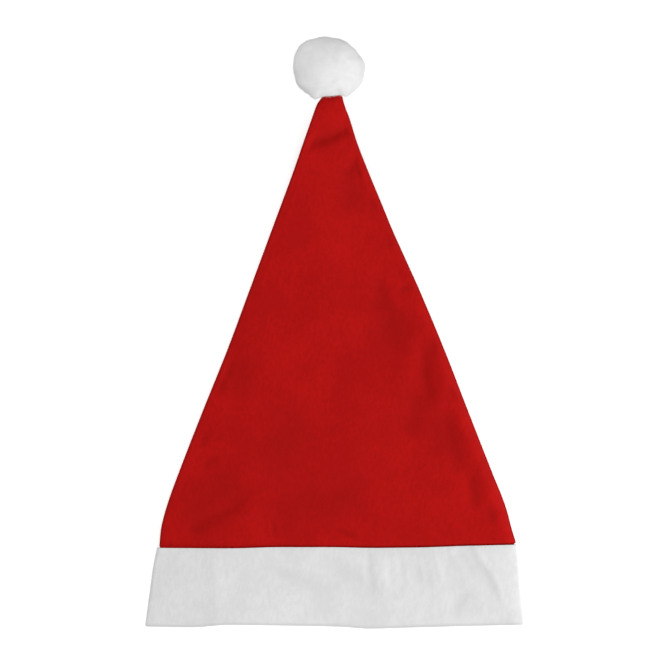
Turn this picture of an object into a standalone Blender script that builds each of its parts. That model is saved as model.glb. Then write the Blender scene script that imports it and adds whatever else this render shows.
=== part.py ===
"""A felt party hat that lies flat: a hollow red cone pressed into two layers, a white felt band
round its mouth and a white pompom on its tip. Metres, +Z up. The mouth faces -Y, the tip points
to +Y, and the surface that the hat lies on is z = 0. "along" is a distance from the hem towards
the tip, and "across" is measured to the right of the hem's middle, seen from above."""

import math
import random
from typing import NamedTuple

import bmesh
import bpy
from mathutils import Matrix, Vector

# Driving dimensions
HEM_WIDTH = 0.290  # the flat width at the hem, half of a 58 cm head size
BAND_HEIGHT = 0.060
CROWN_LENGTH = 0.345  # the red felt that shows between the band and the pompom
POMPOM_SIZE = Vector((0.0550, 0.0480, 0.0490))
CROWN_FELT = 0.0015
BAND_FELT = 0.0020
GAP = 0.0004  # left between pieces that are sewn together

# Facets
UPPER_STEPS = 34
EDGE_CROWDING = 0.35  # the upper layer's facets are this share narrower at the side edges
LOWER_STEPS = 6
ROLL_STEPS = 4  # round each side edge
BAND_ROWS = 6
ROW_SPACING = 0.0120  # between the crown's rows

# Sizes that follow
TIP = BAND_HEIGHT + CROWN_LENGTH
LAP = BAND_HEIGHT / BAND_ROWS  # red felt tucked up under the band
NECK = 0.0065  # closed tip of the cone, pushed into the pompom
POMPOM_SINK = 0.0023  # how far the tip's flat end dents the pompom's outline
POMPOM_ACROSS = -0.0045
POMPOM_ALONG = TIP - POMPOM_SINK + POMPOM_SIZE.y / 2
ORIGIN_ALONG = (POMPOM_ALONG + POMPOM_SIZE.y / 2) / 2  # the middle of the hat's whole length


class Section(NamedTuple):
    """The hat cut across: side edges, thickness at those edges, and how far the upper layer
    rises over them in the middle. lift is the lower layer's height over the surface. Of its rise,
    the upper layer loses fall over the width flank at the right edge, and the rest slowly."""

    along: float
    left: float
    right: float
    edge: float
    rise: float
    lift: float
    flank: float
    fall: float


class Wave(NamedTuple):
    """How far the hem and the seam over the band stray towards the tip."""

    across: float
    hem: float
    seam: float


class Fold(NamedTuple):
    """A crease or soft ridge in the upper layer, centred on a point. heading is in degrees from
    the hem's direction, and height is negative for a dent."""

    across: float
    along: float
    heading: float
    length: float
    width: float
    height: float


HALF_HEM = HEM_WIDTH / 2
BAND_SECTIONS = (
    Section(0.000, -HALF_HEM, HALF_HEM, 0.0080, 0.0036, 0.0, 0.0085, 0.0008),
    Section(0.025, -0.1416, 0.1426, 0.0084, 0.0036, 0.0, 0.0085, 0.0008),
    Section(0.045, -0.1389, 0.1408, 0.0090, 0.0036, 0.0, 0.0085, 0.0008),
    Section(0.055, -0.1370, 0.1399, 0.0094, 0.0036, 0.0, 0.0085, 0.0008),
    Section(BAND_HEIGHT, -0.1359, 0.1394, 0.0094, 0.0035, 0.0, 0.0085, 0.0008),
)
CROWN_SECTIONS = (
    Section(0.0618, -0.1341, 0.1389, 0.0050, 0.0047, 0.0021, 0.0085, 0.0026),
    Section(0.074, -0.1330, 0.1354, 0.0066, 0.0048, 0.0004, 0.0085, 0.0030),
    Section(0.085, -0.1305, 0.1328, 0.0068, 0.0050, 0.0, 0.0085, 0.0032),
    Section(0.096, -0.1272, 0.1295, 0.0068, 0.0050, 0.0, 0.0088, 0.0034),
    Section(0.119, -0.1188, 0.1204, 0.0068, 0.0050, 0.0, 0.0088, 0.0035),
    Section(0.165, -0.1009, 0.1024, 0.0067, 0.0044, 0.0, 0.0090, 0.0034),
    Section(0.211, -0.0824, 0.0846, 0.0066, 0.0036, 0.0, 0.0085, 0.0021),
    Section(0.257, -0.0653, 0.0654, 0.0066, 0.0030, 0.0, 0.0080, 0.0009),
    Section(0.280, -0.0568, 0.0551, 0.0066, 0.0025, 0.0, 0.0075, 0.0005),
    Section(0.303, -0.0483, 0.0447, 0.0067, 0.0020, 0.0006, 0.0065, 0.0005),
    Section(0.326, -0.0397, 0.0352, 0.0068, 0.0018, 0.0028, 0.0060, 0.0005),
    Section(0.349, -0.0312, 0.0256, 0.0070, 0.0016, 0.0064, 0.0060, 0.0005),
    Section(0.372, -0.0232, 0.0167, 0.0074, 0.0015, 0.0110, 0.0060, 0.0005),
    Section(0.388, -0.0175, 0.0117, 0.0078, 0.0014, 0.0147, 0.0060, 0.0005),
    Section(0.400, -0.0129, 0.0072, 0.0080, 0.0012, 0.0175, 0.0060, 0.0005),
    Section(TIP, -0.0090, 0.0060, 0.0078, 0.0008, 0.0187, 0.0050, 0.0004),
    Section(TIP + 0.003, -0.0076, 0.0040, 0.0068, 0.0004, 0.0200, 0.0040, 0.0002),
    Section(TIP + NECK - 0.001, -0.0068, 0.0028, 0.0062, 0.0, 0.0210, 0.0040, 0.0),
)
EDGE_WAVES = (
    Wave(-0.145, 0.0000, 0.0002),
    Wave(-0.110, -0.0005, 0.0001),
    Wave(-0.080, 0.0014, 0.0000),
    Wave(-0.042, 0.0009, 0.0009),
    Wave(0.004, 0.0000, 0.0008),
    Wave(0.027, -0.0015, 0.0003),
    Wave(0.062, -0.0006, 0.0006),
    Wave(0.100, 0.0004, 0.0018),
    Wave(0.145, 0.0013, 0.0028),
)
FOLDS = (
    Fold(-0.0035, 0.3752, 22, 0.046, 0.0100, -0.0016),
    Fold(0.0150, 0.3530, 45, 0.017, 0.0065, -0.0013),
    Fold(0.0110, 0.3330, 95, 0.036, 0.0240, -0.0010),
    Fold(0.0350, 0.2570, 100, 0.026, 0.0130, -0.0009),
    Fold(0.0440, 0.2310, 95, 0.038, 0.0280, -0.0007),
    Fold(0.0540, 0.1980, 82, 0.070, 0.0180, 0.0008),
    Fold(0.0703, 0.1955, 98, 0.042, 0.0110, -0.0013),
    Fold(0.0585, 0.1670, 78, 0.036, 0.0210, -0.0011),
    Fold(0.0815, 0.1800, 80, 0.030, 0.0110, 0.0006),
    Fold(0.0895, 0.1445, 102, 0.036, 0.0115, -0.0012),
    Fold(0.0790, 0.1450, 100, 0.028, 0.0150, -0.0006),
    Fold(0.1055, 0.1040, 97, 0.030, 0.0100, -0.0009),
    Fold(-0.0740, 0.1900, 80, 0.030, 0.0220, -0.0004),
    Fold(-0.0920, 0.0853, 29, 0.046, 0.0110, -0.0015),
    Fold(-0.0930, 0.0980, 35, 0.050, 0.0360, -0.0005),
    Fold(-0.0380, 0.1400, 60, 0.060, 0.0400, -0.0005),
    Fold(-0.0150, 0.0930, 10, 0.080, 0.0400, -0.0005),
    Fold(-0.0050, 0.2750, 88, 0.110, 0.0300, 0.0010),
    Fold(0.0200, 0.1640, 75, 0.085, 0.0450, 0.0014),
    Fold(0.0100, 0.0410, -27, 0.056, 0.0130, -0.0009),
    Fold(0.0730, 0.0400, 112, 0.042, 0.0120, 0.0006),
    Fold(0.1110, 0.0410, 122, 0.044, 0.0110, -0.0005),
)
FOLD_CLEARANCE = 0.008  # folds fade out this close to a side edge
LEFT_FLANK = 0.080  # the upper layer rises over this distance from the left edge
ROLL_BLUNTNESS = 4  # 2 would be a round roll, and more is a blunter one
SEAM_WAVE_REACH = 0.050  # the crown straightens out over this length above the seam

# Pompom
LOCK_COUNT = 71
LOCK_SIDES = 5
LOCK_PROFILE = (  # distance inwards from the lock's blunt end, and radius there
    (0.0095, 0.0050),
    (0.0017, 0.0055),
    (0.0000, 0.0034),
)
CORE_DEPTH = 0.0032  # the core's surface lies this far inside the locks' ends
LOCK_UNEVEN = 0.0008
LOCK_LEAN = 0.12
GOLDEN_ANGLE = math.pi * (3 - math.sqrt(5))
CORE_SUBDIVISIONS = 2


def clear_scene():
    for obj in list(bpy.data.objects):
        bpy.data.objects.remove(obj, do_unlink=True)


def new_collection(name):
    collection = bpy.data.collections.new(name)
    bpy.context.scene.collection.children.link(collection)
    return collection


def felt(name, colour, roughness):
    material = bpy.data.materials.new(name)
    material.use_nodes = True
    shader = material.node_tree.nodes["Principled BSDF"]
    shader.inputs["Base Color"].default_value = (*colour, 1)
    shader.inputs["Roughness"].default_value = roughness
    shader.inputs["Metallic"].default_value = 0
    return material


def ease(share):
    """0 to 1 with a flat start and end."""
    share = min(max(share, 0.0), 1.0)
    return share * share * (3 - 2 * share)


def curve_slopes(keys, values):
    """Slopes of a smooth curve through the points that never overshoots them."""
    steps = [
        (values[i + 1] - values[i]) / (keys[i + 1] - keys[i]) for i in range(len(keys) - 1)
    ]
    slopes = [steps[0]]
    for before, after in zip(steps, steps[1:]):
        same_way = before * after > 0
        slopes.append(2 * before * after / (before + after) if same_way else 0.0)
    return slopes + [steps[-1]]


def curve_value(keys, values, key):
    key = min(max(key, keys[0]), keys[-1])
    i = max(j for j in range(len(keys) - 1) if keys[j] <= key)
    slopes = curve_slopes(keys, values)
    span = keys[i + 1] - keys[i]
    t = (key - keys[i]) / span
    start, end = values[i], values[i + 1]
    bend_in = slopes[i] * span
    bend_out = slopes[i + 1] * span
    blend = ease(t)
    return start + (end - start) * blend + t * (1 - t) * (bend_in * (1 - t) - bend_out * t)


def row_at(rows, key):
    """The table's row at key, its first column, with the other columns on smooth curves."""
    columns = list(zip(*rows))
    others = [curve_value(columns[0], column, key) for column in columns[1:]]
    return type(rows[0])(key, *others)


def inset(section, depth):
    """The same section with every wall moved inwards."""
    return section._replace(
        left=section.left + depth,
        right=section.right - depth,
        edge=section.edge - 2 * depth,
        lift=section.lift + depth,
    )


def fold_height(across, along):
    height = 0.0
    for fold in FOLDS:
        turn = math.radians(fold.heading)
        dx = across - fold.across
        dy = along - fold.along
        run = (dx * math.cos(turn) + dy * math.sin(turn)) / (fold.length / 2)
        aside = (dy * math.cos(turn) - dx * math.sin(turn)) / (fold.width / 2)
        height += fold.height * math.exp(-(aside**2) - run**4)
    return height


def flanks(section, side):
    """(drop, width) of each curve by which the upper layer goes down towards a side edge."""
    whole = section.right - section.left
    if side < 0:
        return ((section.rise, min(LEFT_FLANK, whole / 2)),)
    return ((section.fall, min(section.flank, whole / 2)), (section.rise - section.fall, whole))


def flank_slope(section, side):
    """Slope of the upper layer where it meets a side edge."""
    return math.atan(sum(2 * drop / width for drop, width in flanks(section, side)))


def roll_direction(turn):
    """(out, up) from the middle of a side edge to its outer face, for an edge 2 thick."""
    out, up = math.cos(turn), math.sin(turn)
    size = (abs(out) ** ROLL_BLUNTNESS + abs(up) ** ROLL_BLUNTNESS) ** (1 / ROLL_BLUNTNESS)
    return out / size, up / size


def roll_end(section, side):
    """The turn at which the roll of a side edge has the slope of the upper layer."""
    steepness = math.tan(flank_slope(section, side)) ** (1 / (ROLL_BLUNTNESS - 1))
    return math.atan2(1, steepness)


def flank_drop(section, side, from_edge):
    """How far the upper layer is under its top at a distance from the end of the roll."""
    drops = list(flanks(section, side))
    roll = section.edge / 2 * (1 - roll_direction(roll_end(section, side))[1])
    drops.append((roll, drops[0][1]))
    return sum(drop * max(0.0, 1 - from_edge / width) ** 2 for drop, width in drops)


def roll_points(section, side, steps):
    """(across, height) round one side edge, from the lower layer up."""
    radius = section.edge / 2
    edge = section.right if side > 0 else section.left
    first, last = -math.pi / 2, roll_end(section, side)
    points = []
    for i in range(steps + 1):
        out, up = roll_direction(first + (last - first) * i / steps)
        points.append((edge - side * radius * (1 - out), section.lift + radius * (1 + up)))
    return points


def upper_layer(section, right, left):
    """(across, height) along the upper layer's outer face, from the right roll to the left one."""
    top = section.lift + section.edge + section.rise
    for i in range(UPPER_STEPS):
        share = i / UPPER_STEPS
        share -= EDGE_CROWDING * math.sin(math.tau * share) / math.tau
        across = right + (left - right) * share
        drop = flank_drop(section, 1, right - across) + flank_drop(section, -1, across - left)
        from_edge = min(right - across, across - left)
        folds = ease(from_edge / FOLD_CLEARANCE) * fold_height(across, section.along)
        yield across, top - drop + folds


def ring(section):
    """(across, height) once round the section: lower layer, right edge, upper layer, left edge."""
    right_roll = roll_points(section, 1, ROLL_STEPS)
    left_roll = roll_points(section, -1, ROLL_STEPS)
    right, left = right_roll[0][0], left_roll[0][0]
    lower = [
        (left + (right - left) * i / LOWER_STEPS, section.lift) for i in range(LOWER_STEPS)
    ]
    upper = list(upper_layer(section, right_roll[-1][0], left_roll[-1][0]))
    return lower + right_roll[:-1] + upper + left_roll[:0:-1]


def band_shift(across, along):
    """How far a point of the band strays along the hat."""
    wave = row_at(EDGE_WAVES, across)
    share = along / BAND_HEIGHT
    return wave.hem * (1 - share) + wave.seam * share


def crown_shift(across, along):
    if along <= BAND_HEIGHT:
        return band_shift(across, along)
    fade = 1 - ease((along - BAND_HEIGHT) / SEAM_WAVE_REACH)
    return row_at(EDGE_WAVES, across).seam * fade


def stations(start, end, spacing):
    count = max(1, round((end - start) / spacing))
    return [start + (end - start) * i / count for i in range(count)]


def skin(bm, sections, shift, close_tip):
    """Adds an open tube through the sections, its faces outwards, with its far end closed or open."""
    rows = []
    for section in sections:
        row = []
        for across, height in ring(section):
            along = section.along + shift(across, section.along)
            row.append(bm.verts.new((across, along - ORIGIN_ALONG, height)))
        rows.append(row)
    count = len(rows[0])
    for near, far in zip(rows, rows[1:]):
        for i in range(count):
            j = (i + 1) % count
            bm.faces.new((near[i], far[i], far[j], near[j]))
    if not close_tip:
        return
    last = rows[-1]
    middle = sum((v.co for v in last), Vector()) / count
    end = bm.verts.new(middle + Vector((0, TIP + NECK - sections[-1].along, 0)))
    for i in range(count):
        bm.faces.new((last[i], end, last[(i + 1) % count]))


def new_object(name, bm, collection, material=None):
    mesh = bpy.data.meshes.new(name)
    bm.to_mesh(mesh)
    bm.free()
    mesh.shade_smooth()
    obj = bpy.data.objects.new(name, mesh)
    collection.objects.link(obj)
    if material:
        mesh.materials.append(material)
    return obj


def thicken(obj, thickness):
    solidify = obj.modifiers.new("Felt", "SOLIDIFY")
    solidify.thickness = thickness
    solidify.offset = -1
    solidify.use_even_offset = True


def round_rims(obj, width):
    bevel = obj.modifiers.new("Rims", "BEVEL")
    bevel.width = width
    bevel.segments = 2
    bevel.limit_method = "ANGLE"
    bevel.angle_limit = math.radians(60)


def cut(obj, cutter):
    boolean = obj.modifiers.new("Cut", "BOOLEAN")
    boolean.operation = "DIFFERENCE"
    boolean.object = cutter


def as_cutter(obj):
    obj.hide_render = True
    obj.display_type = "WIRE"
    return obj


def band_sections():
    alongs = stations(0, BAND_HEIGHT, LAP) + [BAND_HEIGHT]
    return [row_at(BAND_SECTIONS, along) for along in alongs]


def crown_sections():
    """Under the band the crown follows the band's own inner face, a gap inside it."""
    under = BAND_FELT + GAP
    alongs = [BAND_HEIGHT - LAP, BAND_HEIGHT]
    sections = [inset(row_at(BAND_SECTIONS, along), under) for along in alongs]
    for near, far in zip(CROWN_SECTIONS, CROWN_SECTIONS[1:]):
        for along in stations(near.along, far.along, ROW_SPACING):
            sections.append(row_at(CROWN_SECTIONS, along))
    return sections + [CROWN_SECTIONS[-1]]


def build_band(collection, material):
    bm = bmesh.new()
    skin(bm, band_sections(), band_shift, close_tip=False)
    band = new_object("band", bm, collection, material)
    thicken(band, BAND_FELT)
    round_rims(band, BAND_FELT * 0.4)
    return band


def build_crown(collection, material):
    bm = bmesh.new()
    skin(bm, crown_sections(), crown_shift, close_tip=True)
    crown = new_object("crown", bm, collection, material)
    thicken(crown, CROWN_FELT)
    return crown


def sphere_directions(count):
    """Evenly spread directions on a spiral from the top of a sphere to its bottom."""
    for i in range(count):
        height = 1 - (2 * i + 1) / count
        radius = math.sqrt(1 - height * height)
        turn = i * GOLDEN_ANGLE
        yield Vector((radius * math.cos(turn), radius * math.sin(turn), height))


def add_lock(bm, place):
    """One blunt lock of fluff. Its end is at the origin of place and it points along +Z."""
    rows = []
    for depth, radius in LOCK_PROFILE:
        row = []
        for i in range(LOCK_SIDES):
            turn = math.tau * i / LOCK_SIDES
            point = Vector((radius * math.cos(turn), radius * math.sin(turn), -depth))
            row.append(bm.verts.new(place @ point))
        rows.append(row)
    for near, far in zip(rows, rows[1:]):
        for i in range(LOCK_SIDES):
            j = (i + 1) % LOCK_SIDES
            bm.faces.new((near[i], near[j], far[j], far[i]))
    bm.faces.new(reversed(rows[0]))
    bm.faces.new(rows[-1])


def add_locks(bm, half_size):
    """Locks that stand out of the core to the pompom's outline, each leaning a little."""
    dice = random.Random(7)
    for direction in sphere_directions(LOCK_COUNT):
        uneven = dice.uniform(-LOCK_UNEVEN, 0)
        lean = Vector((dice.uniform(-1, 1), dice.uniform(-1, 1), dice.uniform(-1, 1)))
        surface = Vector(direction[i] * half_size[i] for i in range(3))
        outwards = Vector(direction[i] / half_size[i] for i in range(3)).normalized()
        heading = (outwards + lean * LOCK_LEAN).normalized()
        turn = heading.to_track_quat("Z", "Y").to_matrix().to_4x4()
        spin = Matrix.Rotation(dice.uniform(0, math.tau), 4, "Z")
        add_lock(bm, Matrix.Translation(surface + outwards * uneven) @ turn @ spin)


def tip_cutter(collection):
    """The cone's tip grown by the gap, which leaves its seat in the pompom."""
    sections = [inset(s, -GAP) for s in crown_sections() if s.along > TIP - 0.020]
    bm = bmesh.new()
    skin(bm, sections, crown_shift, close_tip=True)
    bmesh.ops.holes_fill(bm, edges=[e for e in bm.edges if e.is_boundary])
    bmesh.ops.translate(bm, verts=[v for v in bm.verts], vec=(0, GAP, 0))
    return as_cutter(new_object("tip_seat", bm, collection))


def build_pompom(collection, cutters, material):
    half_size = POMPOM_SIZE / 2
    core_size = half_size - Vector((CORE_DEPTH,) * 3)
    bm = bmesh.new()
    bmesh.ops.create_icosphere(bm, subdivisions=CORE_SUBDIVISIONS, radius=1)
    bmesh.ops.scale(bm, verts=bm.verts, vec=core_size)
    pompom = new_object("pompom", bm, collection, material)
    bm = bmesh.new()
    add_locks(bm, half_size)
    lowest = min(v.co.z for v in bm.verts)
    locks = as_cutter(new_object("locks", bm, cutters))
    place = Vector((POMPOM_ACROSS, POMPOM_ALONG - ORIGIN_ALONG, -lowest))
    pompom.location = place
    locks.location = place
    fuse = pompom.modifiers.new("Locks", "BOOLEAN")
    fuse.operation = "UNION"
    fuse.object = locks
    fuse.use_self = True
    cut(pompom, tip_cutter(cutters))
    return pompom


def main():
    clear_scene()
    hat = new_collection("santa_hat")
    cutters = new_collection("cutters")
    red = felt("red_felt", (0.40, 0.008, 0.008), 0.95)
    white = felt("white_felt", (0.80, 0.80, 0.81), 0.95)
    fluff = felt("white_fluff", (0.84, 0.84, 0.85), 1.0)
    build_crown(hat, red)
    build_band(hat, white)
    build_pompom(hat, cutters, fluff)


main()
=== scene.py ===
"""The looks of a felt party hat that lies flat on a pale floor, seen straight from above.

The crown, the band and the pompom replace the plain solids of the frame. Metres, +Z up, the mouth
towards -Y and the tip towards +Y. "along" is a distance from the hem towards the tip, and "across"
is measured to the right of the hem's middle, seen from above.
"""

import math
import random
from typing import NamedTuple

import bmesh
import bpy
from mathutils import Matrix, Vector, noise


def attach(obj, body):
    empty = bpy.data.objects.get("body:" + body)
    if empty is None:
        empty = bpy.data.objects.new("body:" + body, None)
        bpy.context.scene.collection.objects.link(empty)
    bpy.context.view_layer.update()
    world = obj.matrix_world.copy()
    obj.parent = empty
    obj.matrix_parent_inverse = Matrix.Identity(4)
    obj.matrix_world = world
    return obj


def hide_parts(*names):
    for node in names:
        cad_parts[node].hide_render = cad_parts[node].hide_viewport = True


NOISE_SEED = 7  # without it, vector noise takes its seed from the clock

# Driving sizes, the same as the solids'
HEM_WIDTH = 0.290
BAND_HEIGHT = 0.060
CROWN_LENGTH = 0.345
POMPOM_SIZE = Vector((0.0550, 0.0480, 0.0490))
CROWN_FELT = 0.0015
BAND_FELT = 0.0020
GAP = 0.0004
LAP = 0.010
NECK = 0.0065
TIP = BAND_HEIGHT + CROWN_LENGTH
POMPOM_ACROSS = -0.0045
POMPOM_SINK = 0.0023  # the pompom is pushed this far over the tip
POMPOM_ALONG = TIP - POMPOM_SINK + POMPOM_SIZE.y / 2
ORIGIN_ALONG = (POMPOM_ALONG + POMPOM_SIZE.y / 2) / 2

# Mesh steps
UPPER_STEPS = 150
LOWER_STEPS = 36
ROLL_STEPS = 20
ROW_SPACING = 0.0026


class Section(NamedTuple):
    """The hat cut across: side edges, thickness at those edges, and how far the upper layer
    rises over them in the middle. lift is the lower layer's height over the floor. Of its rise,
    the upper layer loses fall over the width flank at the right edge, and the rest slowly."""

    along: float
    left: float
    right: float
    edge: float
    rise: float
    lift: float
    flank: float
    fall: float


class Wave(NamedTuple):
    """How far the hem and the seam over the band stray towards the tip."""

    across: float
    hem: float
    seam: float


class Fold(NamedTuple):
    """A crease or soft ridge in the upper layer, centred on a point. heading is in degrees from
    the hem's direction, and height is negative for a dent."""

    across: float
    along: float
    heading: float
    length: float
    width: float
    height: float


class Bulge(NamedTuple):
    """How far the pompom's outline, seen from above, stands out of its ellipse."""

    bearing: float
    out: float


HALF_HEM = HEM_WIDTH / 2
BAND_SECTIONS = (
    Section(0.000, -HALF_HEM, HALF_HEM, 0.0080, 0.0036, 0.0, 0.0085, 0.0008),
    Section(0.025, -0.1416, 0.1426, 0.0084, 0.0036, 0.0, 0.0085, 0.0008),
    Section(0.045, -0.1389, 0.1408, 0.0090, 0.0036, 0.0, 0.0085, 0.0008),
    Section(0.055, -0.1370, 0.1399, 0.0094, 0.0036, 0.0, 0.0085, 0.0008),
    Section(BAND_HEIGHT, -0.1359, 0.1394, 0.0094, 0.0035, 0.0, 0.0085, 0.0008),
)
CROWN_SECTIONS = (
    Section(0.0618, -0.1341, 0.1389, 0.0050, 0.0047, 0.0021, 0.0085, 0.0026),
    Section(0.074, -0.1330, 0.1354, 0.0066, 0.0048, 0.0004, 0.0085, 0.0030),
    Section(0.085, -0.1305, 0.1328, 0.0068, 0.0050, 0.0, 0.0085, 0.0032),
    Section(0.096, -0.1272, 0.1295, 0.0068, 0.0050, 0.0, 0.0088, 0.0034),
    Section(0.119, -0.1188, 0.1204, 0.0068, 0.0050, 0.0, 0.0088, 0.0035),
    Section(0.165, -0.1009, 0.1024, 0.0067, 0.0044, 0.0, 0.0090, 0.0034),
    Section(0.211, -0.0824, 0.0846, 0.0066, 0.0036, 0.0, 0.0085, 0.0021),
    Section(0.257, -0.0653, 0.0654, 0.0066, 0.0030, 0.0, 0.0080, 0.0009),
    Section(0.280, -0.0568, 0.0551, 0.0066, 0.0025, 0.0, 0.0075, 0.0005),
    Section(0.303, -0.0483, 0.0447, 0.0067, 0.0020, 0.0006, 0.0065, 0.0005),
    Section(0.326, -0.0397, 0.0352, 0.0068, 0.0018, 0.0028, 0.0060, 0.0005),
    Section(0.349, -0.0312, 0.0256, 0.0070, 0.0016, 0.0064, 0.0060, 0.0005),
    Section(0.372, -0.0232, 0.0167, 0.0074, 0.0015, 0.0110, 0.0060, 0.0005),
    Section(0.388, -0.0175, 0.0117, 0.0078, 0.0014, 0.0147, 0.0060, 0.0005),
    Section(0.400, -0.0129, 0.0072, 0.0080, 0.0012, 0.0175, 0.0060, 0.0005),
    Section(TIP, -0.0090, 0.0060, 0.0078, 0.0008, 0.0187, 0.0050, 0.0004),
    Section(TIP + 0.003, -0.0076, 0.0040, 0.0068, 0.0004, 0.0200, 0.0040, 0.0002),
    Section(TIP + NECK - 0.001, -0.0068, 0.0028, 0.0062, 0.0, 0.0210, 0.0040, 0.0),
)
EDGE_WAVES = (
    Wave(-0.145, 0.0000, 0.0002),
    Wave(-0.110, -0.0005, 0.0001),
    Wave(-0.080, 0.0014, 0.0000),
    Wave(-0.042, 0.0009, 0.0009),
    Wave(0.004, 0.0000, 0.0008),
    Wave(0.027, -0.0015, 0.0003),
    Wave(0.062, -0.0006, 0.0006),
    Wave(0.100, 0.0004, 0.0018),
    Wave(0.145, 0.0013, 0.0028),
)
FOLDS = (
    Fold(-0.0035, 0.3752, 22, 0.046, 0.0100, -0.0016),
    Fold(0.0150, 0.3530, 45, 0.017, 0.0065, -0.0013),
    Fold(0.0110, 0.3330, 95, 0.036, 0.0240, -0.0010),
    Fold(0.0350, 0.2570, 100, 0.026, 0.0130, -0.0009),
    Fold(0.0440, 0.2310, 95, 0.038, 0.0280, -0.0007),
    Fold(0.0540, 0.1980, 82, 0.070, 0.0180, 0.0008),
    Fold(0.0703, 0.1955, 98, 0.042, 0.0110, -0.0013),
    Fold(0.0585, 0.1670, 78, 0.036, 0.0210, -0.0011),
    Fold(0.0815, 0.1800, 80, 0.030, 0.0110, 0.0006),
    Fold(0.0895, 0.1445, 102, 0.036, 0.0115, -0.0012),
    Fold(0.0790, 0.1450, 100, 0.028, 0.0150, -0.0006),
    Fold(0.1055, 0.1040, 97, 0.030, 0.0100, -0.0009),
    Fold(-0.0740, 0.1900, 80, 0.030, 0.0220, -0.0004),
    Fold(-0.0920, 0.0853, 29, 0.046, 0.0110, -0.0015),
    Fold(-0.0930, 0.0980, 35, 0.050, 0.0360, -0.0005),
    Fold(-0.0380, 0.1400, 60, 0.060, 0.0400, -0.0005),
    Fold(-0.0150, 0.0930, 10, 0.080, 0.0400, -0.0005),
    Fold(-0.0050, 0.2750, 88, 0.110, 0.0300, 0.0010),
    Fold(0.0200, 0.1640, 75, 0.085, 0.0450, 0.0014),
    Fold(0.0100, 0.0410, -27, 0.056, 0.0130, -0.0009),
    Fold(0.0730, 0.0400, 112, 0.042, 0.0120, 0.0006),
    Fold(0.1110, 0.0410, 122, 0.044, 0.0110, -0.0005),
)
PUCKERS = (  # small marks that the solids leave out
    Fold(-0.0078, 0.3727, 6, 0.020, 0.0060, -0.0008),
    Fold(0.0058, 0.3798, 36, 0.018, 0.0055, -0.0010),
    Fold(0.0190, 0.3474, 90, 0.006, 0.0040, -0.0005),
    Fold(-0.0020, 0.4046, 2, 0.022, 0.0028, -0.0010),
    Fold(-0.0815, 0.1970, 60, 0.012, 0.0060, -0.0005),
    Fold(-0.0875, 0.1840, 70, 0.011, 0.0055, -0.0005),
    Fold(-0.1000, 0.1420, 65, 0.013, 0.0060, -0.0005),
    Fold(-0.0950, 0.1255, 40, 0.012, 0.0060, -0.0005),
    Fold(0.0310, 0.3220, 110, 0.012, 0.0055, -0.0006),
    Fold(0.0410, 0.2955, 100, 0.014, 0.0055, -0.0005),
    Fold(0.0535, 0.2590, 35, 0.012, 0.0045, -0.0007),
    Fold(0.0745, 0.2150, 105, 0.014, 0.0060, -0.0006),
    Fold(0.0905, 0.1785, 110, 0.014, 0.0060, -0.0006),
    Fold(0.1190, 0.0830, 100, 0.012, 0.0090, -0.0005),
    Fold(-0.0490, 0.0730, 90, 0.013, 0.0030, 0.0006),
    Fold(-0.0460, 0.0730, 90, 0.013, 0.0035, -0.0005),
    Fold(0.0100, 0.0712, -19, 0.020, 0.0040, -0.0006),
    Fold(0.0120, 0.0668, -12, 0.020, 0.0035, 0.0005),
    Fold(0.0270, 0.0420, 95, 0.030, 0.0060, -0.0005),
    Fold(0.0380, 0.0420, 93, 0.026, 0.0035, 0.0002),
    Fold(0.0470, 0.0430, 96, 0.026, 0.0035, 0.0002),
    Fold(0.0550, 0.0410, 98, 0.028, 0.0040, 0.0002),
    Fold(0.0650, 0.0440, 104, 0.028, 0.0040, 0.0003),
    Fold(0.0785, 0.0430, 110, 0.030, 0.0045, 0.0004),
    Fold(0.0940, 0.0470, 122, 0.022, 0.0040, 0.0003),
    Fold(0.1040, 0.0490, 125, 0.026, 0.0040, 0.0004),
    Fold(0.1193, 0.0385, 121, 0.050, 0.0050, 0.0007),
    Fold(0.0950, 0.0190, 60, 0.022, 0.0120, -0.0005),
    Fold(-0.0330, 0.0380, -24, 0.050, 0.0090, -0.0004),
    Fold(-0.0915, 0.0280, 89, 0.056, 0.0120, 0.0004),
)
FOLD_CLEARANCE = 0.006  # folds fade out this close to a side edge
FOLD_DRIFT = ((0.0300, 0.0030), (0.0110, 0.0014))  # folds wander, as (wavelength, distance)
LEFT_FLANK = 0.080  # the upper layer rises over this distance from the left edge
ROLL_BLUNTNESS = 4  # 2 would be a round roll, and more is a blunter one
SEAM_WAVE_REACH = 0.050
SEAM_TURN = 0.78  # the side seam lies this far up round the crown's side edges
SEAM_GROOVE = 0.0007  # depth of the line where the two layers are sewn along the side edges
SEAM_GROOVE_WIDTH = 0.0006
SEAM_PAINTED_SHADE = 2.2  # painted shade on the side seams' line: 1 takes the felt half way to its painted shade colour, and 2 all the way
STITCH_SPACING = 0.0048
STITCH_PULL = 0.00012
SEAM_PUCKER = 0.00120  # height of the small puckers beside the side seams
SEAM_PUCKER_LENGTH = 0.0065
SEAM_PUCKER_PATCH = 0.030  # they come and go over this distance
SEAM_PUCKER_REACH = 0.015
HEM_LIP = 0.00025  # the cut edge of the hem stands up by this much
HEM_LIP_REACH = 0.0028
HEM_LIP_STEPS = 4
# painted shade along the hem's cut edge, fading out over the lip's reach
HEM_PAINTED_SHADE = 2.2
RIM_ROUNDING = 0.15  # of the band's thickness
RIM_SEGMENTS = 3
RIM_ANGLE = math.radians(60)  # edges sharper than this are rims

# Felt surface, as (wavelength, height) of its unevenness
UNEVENNESS = ((0.0420, 0.00045), (0.0170, 0.00024), (0.0070, 0.00008))

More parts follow.
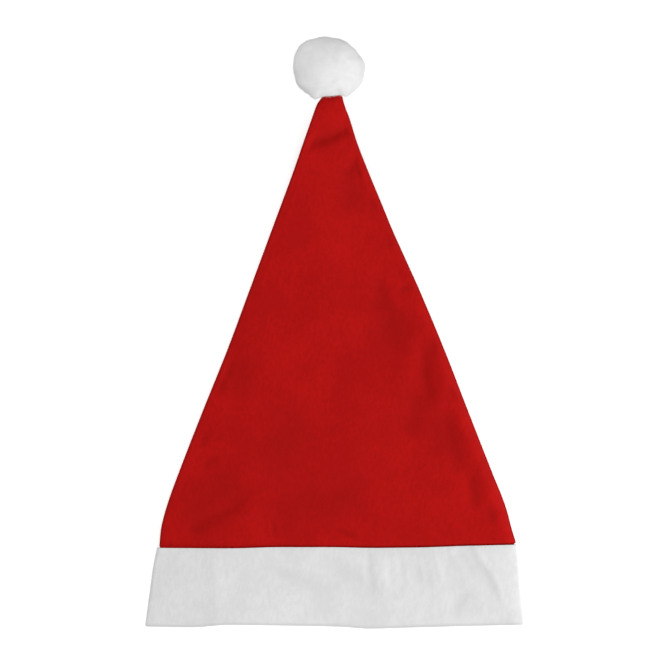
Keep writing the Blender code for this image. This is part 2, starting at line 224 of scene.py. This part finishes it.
POMPOM_BULGES = (
    Bulge(-9, 0.0007),
    Bulge(3, 0.0010),
    Bulge(12, 0.0006),
    Bulge(24, -0.0011),
    Bulge(42, -0.0011),
    Bulge(60, -0.0004),
    Bulge(84, -0.0004),
    Bulge(96, 0.0004),
    Bulge(114, 0.0006),
    Bulge(132, 0.0021),
    Bulge(144, 0.0022),
    Bulge(156, 0.0012),
    Bulge(174, 0.0001),
    Bulge(192, 0.0000),
    Bulge(210, 0.0011),
    Bulge(228, 0.0006),
    Bulge(245, 0.0019),
    Bulge(256, -0.0010),
    Bulge(275, -0.0018),
    Bulge(292, -0.0014),
    Bulge(303, 0.0018),
    Bulge(312, 0.0013),
    Bulge(324, 0.0013),
    Bulge(336, 0.0017),
)
BULGE_FADE = 3  # the bulges keep to the pompom's sides, and more leaves more of it plain
CORE_SUBDIVISIONS = 6
CORE_DEPTH = 0.0007  # the core's surface lies this far inside the fluff's outline
TUFTS = ((0.0100, 0.00022), (0.0040, 0.00016), (0.0016, 0.00010))
STRAND_COUNT = 36000
STRAND_ROOT_DEPTH = 0.0030
STRAND_LENGTH = (0.0022, 0.0042)
STRAND_WIDTH = 0.00016
STRAND_SEED = 11
STRAND_SPREAD = 0.006  # how far the roots stray from their even places on a ball 1 in radius
STRAND_LEAN = 0.35  # how far the strands of a tuft lean together
STRAND_STRAY = 0.16  # how far each strand leans by itself
LEAN_SCALE = 5.0  # tufts that lean together across the ball
LIGHT_THROUGH = 1.30  # how far loose fluff turns its shading upwards
SIDE_SHARE = 0.6  # the share of this that is left on the fluff's sides
SOFT_RIM = 0.45  # less than this far up, the turn falls off to that share
SHADED_SIDES = 0.48  # less than this far up, fluff lies in the shade of the fluff above
GOLDEN_ANGLE = math.pi * (3 - math.sqrt(5))

# Materials. A noise is (detail, distortion), and a range is (from, to, value there, value there).
CLOUD_SCALE = 34  # patches of deeper colour in each metre of felt
CLOUD_NOISE = (5.0, 0.3)
CLOUD_RANGE = (0.38, 0.62, 0.0, 0.55)
CLUMP_NOISE = (3.0, 0.3)
CLUMP_RANGE = (0.38, 0.62, 0.0, 0.50)
CLUMP_TURN = 84  # degrees
CLUMP_STRETCH = 1.8
CLUMP_HEIGHT = 0.6  # beside fibres 1 high
FIBRE_NOISE = (3.0, 0.8)
FIBRE_RANGE = (0.50, 0.72, 0.25, 0.0)
FIBRE_TURNS = (12, 71, 128)
FIBRE_STRETCH = 7.0
# how far the painted shade takes the felt towards its painted shade colour
PAINTED_SHADE_STRENGTH = 0.5
FELT_ROUGHNESS = 0.9
FELT_GLOSS = 0.07
FELT_SHEEN_ROUGHNESS = 0.55
TUFT_NOISE = (5.0, 0.6)
TUFT_RANGE = (0.30, 0.70, 0.0, 1.0)
FLUFF_GLOSS = 0.05
FLUFF_SHEEN = 0.15

# Camera, light and floor
PHOTO_WIDTH = 0.5099  # the width of floor that the picture spans
CAMERA_HEIGHT = 4.0
CAMERA_PLACE = Vector((-0.0015, -0.0003, CAMERA_HEIGHT))
CAMERA_REACH = 50  # nothing further away shows
SENSOR = 36.0
WORLD_LIGHT = 0.83
KEY_PLACE = (1.83, -1.06, 0.55)
KEY_SIZE = 1.0
KEY_POWER = 38
FILL_PLACE = (-1.30, 0.95, 1.30)
FILL_SIZE = 1.6
FILL_POWER = 8
FLOOR_SIZE = 3.0
FLOOR_DROP = 0.0002  # keeps the floor clear of the lower layer
FLOOR_SEEN = 0.98
FLOOR_GLOW = 0.34  # a lit table, which keeps the floor white up to the felt
FLOOR_BOUNCE = 0.40  # the grey of what it throws back


def ease(share):
    """0 to 1 with a flat start and end."""
    share = min(max(share, 0.0), 1.0)
    return share * share * (3 - 2 * share)


def curve_slopes(keys, values):
    """Slopes of a smooth curve through the points that never overshoots them."""
    steps = [
        (values[i + 1] - values[i]) / (keys[i + 1] - keys[i]) for i in range(len(keys) - 1)
    ]
    slopes = [steps[0]]
    for before, after in zip(steps, steps[1:]):
        same_way = before * after > 0
        slopes.append(2 * before * after / (before + after) if same_way else 0.0)
    return slopes + [steps[-1]]


def curve_value(keys, values, key):
    key = min(max(key, keys[0]), keys[-1])
    i = max(j for j in range(len(keys) - 1) if keys[j] <= key)
    slopes = curve_slopes(keys, values)
    span = keys[i + 1] - keys[i]
    t = (key - keys[i]) / span
    start, end = values[i], values[i + 1]
    bend_in = slopes[i] * span
    bend_out = slopes[i + 1] * span
    blend = ease(t)
    return start + (end - start) * blend + t * (1 - t) * (bend_in * (1 - t) - bend_out * t)


def row_at(rows, key):
    """The table's row at key, its first column, with the other columns on smooth curves."""
    columns = list(zip(*rows))
    others = [curve_value(columns[0], column, key) for column in columns[1:]]
    return type(rows[0])(key, *others)


def inset(section, depth):
    """The same section with every wall moved inwards."""
    return section._replace(
        left=section.left + depth,
        right=section.right - depth,
        edge=section.edge - 2 * depth,
        lift=section.lift + depth,
    )


def drift(place):
    """How far the folds wander from their plain shapes at a place."""
    return sum((noise.noise_vector(place / length) * way for length, way in FOLD_DRIFT), Vector())


def fold_shape(fold, across, along):
    """How strongly a fold works at a point, from 0 to 1."""
    turn = math.radians(fold.heading)
    dx = across - fold.across
    dy = along - fold.along
    run = (dx * math.cos(turn) + dy * math.sin(turn)) / (fold.length / 2)
    aside = (dy * math.cos(turn) - dx * math.sin(turn)) / (fold.width / 2)
    return math.exp(-(aside**2) - run**4)


def fold_relief(place):
    """(height, painted shade) that the folds give the upper layer at a place. The painted shade
    darkens the felt in the dents, where shade falls.
    """
    moved = place + drift(place)
    shapes = [(f.height, fold_shape(f, moved.x, moved.y)) for f in FOLDS + PUCKERS]
    height = sum(size * shape for size, shape in shapes)
    return height, min(1.0, sum(shape for size, shape in shapes if size < 0))


def layered_noise(place, layers):
    """Sum of smooth noises, each given as (wavelength, height)."""
    return sum(height * noise.noise(place / length) for length, height in layers)


def flanks(section, side):
    """(drop, width) of each curve by which the upper layer goes down towards a side edge."""
    whole = section.right - section.left
    if side < 0:
        return ((section.rise, min(LEFT_FLANK, whole / 2)),)
    return ((section.fall, min(section.flank, whole / 2)), (section.rise - section.fall, whole))


def flank_slope(section, side):
    """Slope of the upper layer where it meets a side edge."""
    return math.atan(sum(2 * drop / width for drop, width in flanks(section, side)))


def roll_direction(turn):
    """(out, up) from the middle of a side edge to its outer face, for an edge 2 thick."""
    out, up = math.cos(turn), math.sin(turn)
    size = (abs(out) ** ROLL_BLUNTNESS + abs(up) ** ROLL_BLUNTNESS) ** (1 / ROLL_BLUNTNESS)
    return out / size, up / size


def roll_end(section, side):
    """The turn at which the roll of a side edge has the slope of the upper layer."""
    steepness = math.tan(flank_slope(section, side)) ** (1 / (ROLL_BLUNTNESS - 1))
    return math.atan2(1, steepness)


def flank_drop(section, side, from_edge):
    """How far the upper layer is under its top at a distance from the end of the roll."""
    drops = list(flanks(section, side))
    roll = section.edge / 2 * (1 - roll_direction(roll_end(section, side))[1])
    drops.append((roll, drops[0][1]))
    return sum(drop * max(0.0, 1 - from_edge / width) ** 2 for drop, width in drops)


def roll_points(section, side, groove):
    """(across, height, painted shade) round one side edge, from the lower layer up, with painted
    shade along its seam line. groove is the depth of its seam, or 0 where it has none."""
    radius = section.edge / 2
    edge = section.right if side > 0 else section.left
    first, last = -math.pi / 2, roll_end(section, side)
    pull = 0.5 + 0.5 * math.cos(math.tau * section.along / STITCH_SPACING)
    depth = groove + STITCH_PULL * pull if groove else 0.0
    painted_darkness = SEAM_PAINTED_SHADE if groove else 0.0
    points = []
    for i in range(ROLL_STEPS + 1):
        turn = first + (last - first) * i / ROLL_STEPS
        in_seam = math.exp(-(((turn - SEAM_TURN) * radius / SEAM_GROOVE_WIDTH) ** 2))
        size = radius - depth * in_seam
        out, up = roll_direction(turn)
        across = edge - side * (radius - size * out)
        points.append((across, section.lift + radius + size * up, painted_darkness * in_seam))
    return points


def seam_pucker(place, from_edge):
    """Uneven small puckers where the two layers are sewn along a side edge."""
    near = ease(from_edge / FOLD_CLEARANCE) * (1 - ease(from_edge / SEAM_PUCKER_REACH))
    strength = 0.5 + noise.noise(place / SEAM_PUCKER_PATCH)
    return SEAM_PUCKER * strength * near * noise.noise(place / SEAM_PUCKER_LENGTH)


def upper_layer(section, right, left):
    """(across, height, painted shade) along the upper layer's outer face, from the right roll to
    the left one. The painted shade is that of the folds' dents and of the hem's cut edge."""
    top = section.lift + section.edge + section.rise
    for i in range(UPPER_STEPS + 1):
        across = right + (left - right) * i / UPPER_STEPS
        drop = flank_drop(section, 1, right - across) + flank_drop(section, -1, across - left)
        from_edge = min(right - across, across - left)
        fade = ease(from_edge / FOLD_CLEARANCE)
        place = Vector((across, section.along, 0))
        folds, painted_darkness = fold_relief(place)
        relief = fade * (folds + layered_noise(place, UNEVENNESS))
        lip = 1 - ease(section.along / HEM_LIP_REACH)
        relief += HEM_LIP * lip
        if section.along > BAND_HEIGHT:
            relief += seam_pucker(place, from_edge)
        yield across, top - drop + relief, fade * painted_darkness + HEM_PAINTED_SHADE * lip


def ring(section, groove):
    """(across, height, painted shade) once round the section: lower layer, right edge, upper
    layer, left edge."""
    right_roll = roll_points(section, 1, groove)
    left_roll = roll_points(section, -1, groove)
    right, left = right_roll[0][0], left_roll[0][0]
    lower = [
        (left + (right - left) * i / LOWER_STEPS, section.lift, 0.0) for i in range(LOWER_STEPS)
    ]
    upper = list(upper_layer(section, right_roll[-1][0], left_roll[-1][0]))
    return lower + right_roll[:-1] + upper + left_roll[-2:0:-1]


def band_shift(across, along):
    """How far a point of the band strays along the hat."""
    wave = row_at(EDGE_WAVES, across)
    share = along / BAND_HEIGHT
    return wave.hem * (1 - share) + wave.seam * share


def crown_shift(across, along):
    """How far a point of the crown strays along the hat, which fades out above the band."""
    if along <= BAND_HEIGHT:
        return band_shift(across, along)
    fade = 1 - ease((along - BAND_HEIGHT) / SEAM_WAVE_REACH)
    return row_at(EDGE_WAVES, across).seam * fade if fade else 0.0


def stations(start, end, spacing):
    """Even places from start to just short of end."""
    count = max(1, round((end - start) / spacing))
    return [start + (end - start) * i / count for i in range(count)]


def band_sections():
    alongs = stations(0, HEM_LIP_REACH, HEM_LIP_REACH / HEM_LIP_STEPS)
    alongs += stations(HEM_LIP_REACH, BAND_HEIGHT, ROW_SPACING) + [BAND_HEIGHT]
    return [row_at(BAND_SECTIONS, along) for along in alongs]


def crown_sections():
    """Under the band the crown follows the band's own inner face, a gap inside it."""
    under = BAND_FELT + GAP
    alongs = stations(BAND_HEIGHT - LAP, BAND_HEIGHT, ROW_SPACING) + [BAND_HEIGHT]
    sections = [inset(row_at(BAND_SECTIONS, along), under) for along in alongs]
    for near, far in zip(CROWN_SECTIONS, CROWN_SECTIONS[1:]):
        for along in stations(near.along, far.along, ROW_SPACING):
            sections.append(row_at(CROWN_SECTIONS, along))
    return sections + [CROWN_SECTIONS[-1]]


def skin(bm, sections, shift, groove, close_tip):
    """Adds an open tube through the sections, its faces outwards, with its far end closed or open.
    The painted shade of each point goes into a point layer, which darkens the felt's colour."""
    painted_shade_layer = bm.verts.layers.float.new("painted_shade")
    rows = []
    for section in sections:
        row = []
        for across, height, painted_darkness in ring(section, groove):
            along = section.along + shift(across, section.along)
            vertex = bm.verts.new((across, along - ORIGIN_ALONG, height))
            vertex[painted_shade_layer] = painted_darkness
            row.append(vertex)
        rows.append(row)
    count = len(rows[0])
    for near, far in zip(rows, rows[1:]):
        for i in range(count):
            j = (i + 1) % count
            bm.faces.new((near[i], far[i], far[j], near[j]))
    if not close_tip:
        return
    last = rows[-1]
    middle = sum((v.co for v in last), Vector()) / count
    end = bm.verts.new(middle + Vector((0, TIP + NECK - sections[-1].along, 0)))
    for i in range(count):
        bm.faces.new((last[i], end, last[(i + 1) % count]))


def new_object(name, mesh, material):
    mesh.shade_smooth()
    mesh.materials.append(material)
    obj = bpy.data.objects.new(name, mesh)
    bpy.context.scene.collection.objects.link(obj)
    return obj


def mesh_of(name, bm):
    mesh = bpy.data.meshes.new(name)
    bm.to_mesh(mesh)
    bm.free()
    return mesh


def thicken(obj, thickness):
    solidify = obj.modifiers.new("Felt", "SOLIDIFY")
    solidify.thickness = thickness
    solidify.offset = -1
    solidify.use_even_offset = True


def round_rims(obj, width):
    bevel = obj.modifiers.new("Rims", "BEVEL")
    bevel.width = width
    bevel.segments = RIM_SEGMENTS
    bevel.limit_method = "ANGLE"
    bevel.angle_limit = RIM_ANGLE


def build_crown(material):
    bm = bmesh.new()
    skin(bm, crown_sections(), crown_shift, SEAM_GROOVE, close_tip=True)
    crown = new_object("felt_crown", mesh_of("felt_crown", bm), material)
    thicken(crown, CROWN_FELT)
    return crown


def build_band(material):
    bm = bmesh.new()
    skin(bm, band_sections(), band_shift, 0.0, close_tip=False)
    band = new_object("felt_band", mesh_of("felt_band", bm), material)
    thicken(band, BAND_FELT)
    round_rims(band, BAND_FELT * RIM_ROUNDING)
    return band


def fluff_radius(direction):
    """Distance from the pompom's middle to its outline in a direction."""
    half = POMPOM_SIZE / 2
    scaled = Vector(direction[i] / half[i] for i in range(3))
    first = POMPOM_BULGES[0]
    rows = POMPOM_BULGES + (Bulge(first.bearing + 360, first.out),)
    bearing = math.degrees(math.atan2(direction.y, direction.x))
    out = row_at(rows, (bearing - first.bearing) % 360 + first.bearing).out
    level = 1 - direction.z * direction.z
    return 1 / scaled.length + out * level**BULGE_FADE


def pompom_middle():
    return Vector((POMPOM_ACROSS, POMPOM_ALONG - ORIGIN_ALONG, POMPOM_SIZE.z / 2))


def soft_normal(normal):
    """Loose fluff lets light through, so its sides look as if they faced up a little."""
    share = SIDE_SHARE + (1 - SIDE_SHARE) * ease(normal.z / SOFT_RIM)
    lift = LIGHT_THROUGH * share
    return (normal + Vector((0, 0, lift))).normalized()


def fluff_shade(direction):
    """How deep in the fluff's own shade its outside is in a direction, from 0 to 1."""
    return 1 - ease(direction.z / SHADED_SIDES)


def above_floor(point):
    """The pompom rests on the floor, so nothing of it goes under."""
    point.z = max(point.z, 0.0)
    return point


def build_pompom_core(material):
    """The dense body of the fluff, with tufts of several sizes."""
    bm = bmesh.new()
    bmesh.ops.create_icosphere(bm, subdivisions=CORE_SUBDIVISIONS, radius=1)
    shades = bm.verts.layers.float.new("shade")
    middle = pompom_middle()
    for vertex in bm.verts:
        direction = vertex.co.normalized()
        radius = fluff_radius(direction) - CORE_DEPTH
        radius += layered_noise(direction * radius, TUFTS)
        vertex.co = above_floor(middle + direction * radius)
        vertex[shades] = fluff_shade(direction)
    fluff_core = new_object("pompom_fluff", mesh_of("pompom_fluff", bm), material)
    normals = [soft_normal(v.normal) for v in fluff_core.data.vertices]
    fluff_core.data.normals_split_custom_set_from_vertices(normals)
    return fluff_core


def strand_direction(i):
    """Evenly spread directions on a spiral from the top of a sphere to its bottom."""
    height = 1 - (2 * i + 1) / STRAND_COUNT
    radius = math.sqrt(1 - height * height)
    turn = i * GOLDEN_ANGLE
    return Vector((radius * math.cos(turn), radius * math.sin(turn), height))


def build_pompom_strands(material):
    """Short fibres that stand out of the core, leaning together in tufts."""
    dice = random.Random(STRAND_SEED)
    middle = pompom_middle()
    points, faces, normals, shades = [], [], [], []
    for i in range(STRAND_COUNT):
        direction = strand_direction(i)
        scatter = Vector((dice.gauss(0, 1), dice.gauss(0, 1), dice.gauss(0, 1)))
        direction = (direction + scatter * STRAND_SPREAD).normalized()
        tuft = noise.noise_vector(direction * LEAN_SCALE)
        heading = (direction + tuft * STRAND_LEAN + scatter * STRAND_STRAY).normalized()
        root = direction * (fluff_radius(direction) - STRAND_ROOT_DEPTH)
        length = dice.uniform(*STRAND_LENGTH)
        aside = heading.orthogonal().normalized() * (STRAND_WIDTH / 2)
        spin = dice.uniform(0, math.tau)
        first = len(points)
        for corner in range(3):
            turn = spin + corner * math.tau / 3
            offset = aside * math.cos(turn) + heading.cross(aside) * math.sin(turn)
            points.append(above_floor(middle + root + offset))
        points.append(above_floor(middle + root + heading * length))
        for corner in range(3):
            faces.append((first + corner, first + (corner + 1) % 3, first + 3))
        normals += [soft_normal(direction)] * 4
        shades += [fluff_shade(direction)] * 4
    mesh = bpy.data.meshes.new("pompom_strands")
    mesh.from_pydata(points, [], faces)
    mesh.attributes.new("shade", "FLOAT", "POINT").data.foreach_set("value", shades)
    strands = new_object("pompom_strands", mesh, material)
    mesh.normals_split_custom_set_from_vertices(normals)
    return strands


def add_socket(group, name, kind, direction):
    return group.interface.new_socket(name, in_out=direction, socket_type=kind)


def add_node(tree, kind, **settings):
    node = tree.nodes.new(kind)
    for name, value in settings.items():
        setattr(node, name, value)
    return node


def link_noise(tree, place, scale, kind):
    """A noise texture of a kind (detail, distortion). scale is a socket or a number, per metre."""
    detail, distortion = kind
    texture = add_node(tree, "ShaderNodeTexNoise", noise_dimensions="3D")
    tree.links.new(place, texture.inputs["Vector"])
    if isinstance(scale, (int, float)):
        texture.inputs["Scale"].default_value = scale
    else:
        tree.links.new(scale, texture.inputs["Scale"])
    texture.inputs["Detail"].default_value = detail
    texture.inputs["Distortion"].default_value = distortion
    return texture.outputs["Fac"]


def link_math(tree, operation, first, second):
    node = add_node(tree, "ShaderNodeMath", operation=operation)
    for socket, value in zip(node.inputs, (first, second)):
        if isinstance(value, (int, float)):
            socket.default_value = value
        else:
            tree.links.new(value, socket)
    return node.outputs[0]


def link_range(tree, value, low, high, to_low, to_high):
    node = add_node(tree, "ShaderNodeMapRange", clamp=True)
    tree.links.new(value, node.inputs["Value"])
    for name, number in zip(
        ("From Min", "From Max", "To Min", "To Max"), (low, high, to_low, to_high)
    ):
        node.inputs[name].default_value = number
    return node.outputs["Result"]


def link_mix(tree, share, first, second):
    """Mix of two colours."""
    node = add_node(tree, "ShaderNodeMix", data_type="RGBA")
    tree.links.new(share, node.inputs["Factor"])
    for name, value in (("A", first), ("B", second)):
        socket = next(s for s in node.inputs if s.name == name and s.type == "RGBA")
        if isinstance(value, tuple):
            socket.default_value = (*value, 1)
        else:
            tree.links.new(value, socket)
    return next(s for s in node.outputs if s.type == "RGBA")


def stretched(tree, place, turn, stretch):
    """Coordinates in which noise comes out as short fibres along one direction."""
    mapping = add_node(tree, "ShaderNodeMapping", vector_type="TEXTURE")
    tree.links.new(place, mapping.inputs["Vector"])
    mapping.inputs["Rotation"].default_value = (0, 0, math.radians(turn))
    mapping.inputs["Scale"].default_value = (stretch, 1, 1)
    return mapping.outputs["Vector"]


def felt_nap_group():
    """Matted fibres: clouds of deeper colour, clumps, short fibres three ways, and the height of
    the clumps and fibres. The colour is also darkened by painted shade where the points ask for
    it."""
    group = bpy.data.node_groups.new("Felt nap", "ShaderNodeTree")
    for name, kind in (
        ("Pale", "NodeSocketColor"),
        ("Deep", "NodeSocketColor"),
        ("Painted shade colour", "NodeSocketColor"),
        ("Cloud scale", "NodeSocketFloat"),
        ("Clump scale", "NodeSocketFloat"),
        ("Fibre scale", "NodeSocketFloat"),
    ):
        add_socket(group, name, kind, "INPUT")
    add_socket(group, "Colour", "NodeSocketColor", "OUTPUT")
    add_socket(group, "Height", "NodeSocketFloat", "OUTPUT")
    ins = add_node(group, "NodeGroupInput").outputs
    outs = add_node(group, "NodeGroupOutput").inputs
    place = add_node(group, "ShaderNodeTexCoord").outputs["Object"]
    clouds = link_noise(group, place, ins["Cloud scale"], CLOUD_NOISE)
    clumped = stretched(group, place, CLUMP_TURN, CLUMP_STRETCH)
    clumps = link_noise(group, clumped, ins["Clump scale"], CLUMP_NOISE)
    fibres = []
    for turn in FIBRE_TURNS:
        streaked = stretched(group, place, turn, FIBRE_STRETCH)
        fibres.append(link_noise(group, streaked, ins["Fibre scale"], FIBRE_NOISE))
    crossed = link_math(group, "MAXIMUM", fibres[0], fibres[1])
    crossed = link_math(group, "MAXIMUM", crossed, fibres[2])
    share = link_math(
        group,
        "ADD",
        link_range(group, clouds, *CLOUD_RANGE),
        link_range(group, clumps, *CLUMP_RANGE),
    )
    share = link_math(group, "ADD", share, link_range(group, crossed, *FIBRE_RANGE))
    colour = link_mix(group, share, ins["Pale"], ins["Deep"])
    # painted shade: the felt goes towards its painted shade colour in dents, along side seams and
    # at the hem
    painted_shade = add_node(group, "ShaderNodeAttribute", attribute_name="painted_shade").outputs["Fac"]
    painted_shade_share = link_math(group, "MULTIPLY", painted_shade, PAINTED_SHADE_STRENGTH)
    colour = link_mix(group, painted_shade_share, colour, ins["Painted shade colour"])
    group.links.new(colour, outs["Colour"])
    height = link_math(group, "MULTIPLY_ADD", clumps, CLUMP_HEIGHT)
    group.links.new(crossed, height.node.inputs[2])
    group.links.new(height, outs["Height"])
    return group


def new_material(name):
    material = bpy.data.materials.new(name)
    material.use_nodes = True
    tree = material.node_tree
    return material, tree, tree.nodes["Principled BSDF"]


def felt(name, nap, pale, deep, painted_shade, clump_scale, fibre_scale, sheen, sheen_tint, bump):
    material, tree, shader = new_material(name)
    group = add_node(tree, "ShaderNodeGroup", node_tree=nap)
    group.inputs["Pale"].default_value = (*pale, 1)
    group.inputs["Deep"].default_value = (*deep, 1)
    group.inputs["Painted shade colour"].default_value = (*painted_shade, 1)
    group.inputs["Cloud scale"].default_value = CLOUD_SCALE
    group.inputs["Clump scale"].default_value = clump_scale
    group.inputs["Fibre scale"].default_value = fibre_scale
    relief = add_node(tree, "ShaderNodeBump")
    relief.inputs["Distance"].default_value = bump
    relief.inputs["Strength"].default_value = 1.0
    tree.links.new(group.outputs["Height"], relief.inputs["Height"])
    tree.links.new(relief.outputs["Normal"], shader.inputs["Normal"])
    tree.links.new(group.outputs["Colour"], shader.inputs["Base Color"])
    shader.inputs["Roughness"].default_value = FELT_ROUGHNESS
    shader.inputs["Specular IOR Level"].default_value = FELT_GLOSS
    shader.inputs["Sheen Weight"].default_value = sheen
    shader.inputs["Sheen Roughness"].default_value = FELT_SHEEN_ROUGHNESS
    shader.inputs["Sheen Tint"].default_value = (*sheen_tint, 1)
    return material


def fluff(name, pale, deep, shaded, tuft_scale):
    material, tree, shader = new_material(name)
    place = add_node(tree, "ShaderNodeTexCoord").outputs["Object"]
    tufts = link_noise(tree, place, tuft_scale, TUFT_NOISE)
    share = link_range(tree, tufts, *TUFT_RANGE)
    shade = add_node(tree, "ShaderNodeAttribute", attribute_name="shade").outputs["Fac"]
    colour = link_mix(tree, shade, link_mix(tree, share, pale, deep), shaded)
    tree.links.new(colour, shader.inputs["Base Color"])
    shader.inputs["Roughness"].default_value = 1.0
    shader.inputs["Specular IOR Level"].default_value = FLUFF_GLOSS
    shader.inputs["Sheen Weight"].default_value = FLUFF_SHEEN
    return material


def floor_material():
    """White to look at, and grey in what it throws back on the felt."""
    material, tree, seen = new_material("studio_floor")
    thrown = add_node(tree, "ShaderNodeBsdfPrincipled")
    for shader, shade in ((seen, FLOOR_SEEN), (thrown, FLOOR_BOUNCE)):
        shader.inputs["Base Color"].default_value = (shade, shade, shade, 1)
        shader.inputs["Roughness"].default_value = 1.0
        shader.inputs["Specular IOR Level"].default_value = 0.0
    seen.inputs["Emission Color"].default_value = (1, 1, 1, 1)
    seen.inputs["Emission Strength"].default_value = FLOOR_GLOW
    blend = add_node(tree, "ShaderNodeMixShader")
    path = add_node(tree, "ShaderNodeLightPath")
    tree.links.new(path.outputs["Is Camera Ray"], blend.inputs["Fac"])
    tree.links.new(thrown.outputs["BSDF"], blend.inputs[1])
    tree.links.new(seen.outputs["BSDF"], blend.inputs[2])
    tree.links.new(blend.outputs["Shader"], tree.nodes["Material Output"].inputs["Surface"])
    return material


def build_floor():
    bm = bmesh.new()
    bmesh.ops.create_grid(bm, x_segments=1, y_segments=1, size=FLOOR_SIZE)
    floor = new_object("floor", mesh_of("floor", bm), floor_material())
    floor.location.z = -FLOOR_DROP


def aim(obj, target):
    heading = Vector(target) - obj.location
    obj.rotation_euler = heading.to_track_quat("-Z", "Y").to_euler()


def area_light(name, place, size, power):
    light = bpy.data.lights.new(name, "AREA")
    light.shape = "DISK"
    light.size = size
    light.energy = power
    obj = bpy.data.objects.new(name, light)
    obj.location = place
    bpy.context.scene.collection.objects.link(obj)
    aim(obj, (0, 0, 0))


def build_lights():
    world = bpy.data.worlds.new("studio")
    world.use_nodes = True
    background = world.node_tree.nodes["Background"]
    background.inputs["Color"].default_value = (1, 1, 1, 1)
    background.inputs["Strength"].default_value = WORLD_LIGHT
    bpy.context.scene.world = world
    area_light("key", KEY_PLACE, KEY_SIZE, KEY_POWER)
    area_light("fill", FILL_PLACE, FILL_SIZE, FILL_POWER)


def build_camera():
    camera = bpy.data.cameras.new("photo_camera")
    camera.sensor_width = SENSOR
    camera.lens = CAMERA_HEIGHT * SENSOR / PHOTO_WIDTH
    camera.clip_end = CAMERA_REACH
    obj = bpy.data.objects.new("photo_camera", camera)
    obj.location = CAMERA_PLACE
    bpy.context.scene.collection.objects.link(obj)
    bpy.context.scene.camera = obj


def dress(piece, slot, *nodes):
    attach(piece, "root")
    if nodes:
        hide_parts(*nodes)


noise.seed_set(NOISE_SEED)
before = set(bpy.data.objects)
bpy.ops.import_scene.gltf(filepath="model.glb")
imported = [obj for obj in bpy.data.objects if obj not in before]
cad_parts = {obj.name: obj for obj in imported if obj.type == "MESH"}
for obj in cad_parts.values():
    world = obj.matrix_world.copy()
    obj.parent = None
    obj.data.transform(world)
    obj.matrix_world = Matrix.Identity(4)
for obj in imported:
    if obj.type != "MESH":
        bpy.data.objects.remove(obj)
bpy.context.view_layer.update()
bpy.context.scene.view_settings.view_transform = "Standard"

nap = felt_nap_group()
red_felt = felt(
    "red_felt",
    nap,
    pale=(0.424, 0.0036, 0.0029),
    deep=(0.350, 0.0026, 0.0021),
    # painted shade colour, for dents, side seams and the hem
    painted_shade=(0.268, 0.0020, 0.0016),
    clump_scale=430,
    fibre_scale=1300,
    sheen=0.06,
    sheen_tint=(1.0, 0.45, 0.45),
    bump=0.00012,
)
white_felt = felt(
    "white_felt",
    nap,
    pale=(0.678, 0.678, 0.679),
    deep=(0.616, 0.616, 0.618),
    # painted shade colour, for dents, side seams and the hem
    painted_shade=(0.560, 0.560, 0.563),
    clump_scale=330,
    fibre_scale=1100,
    sheen=0.05,
    sheen_tint=(1.0, 1.0, 1.0),
    bump=0.00014,
)
white_fluff = fluff(
    "white_fluff",
    pale=(0.793, 0.793, 0.793),
    deep=(0.749, 0.749, 0.749),
    shaded=(0.690, 0.690, 0.690),
    tuft_scale=160,
)

build_camera()
build_lights()
build_floor()
dress(build_crown(red_felt), "red_felt", "crown")
dress(build_band(white_felt), "white_felt", "band")
core = build_pompom_core(white_fluff)
dress(core, "white_fluff", "pompom")
dress(build_pompom_strands(white_fluff), "white_fluff")
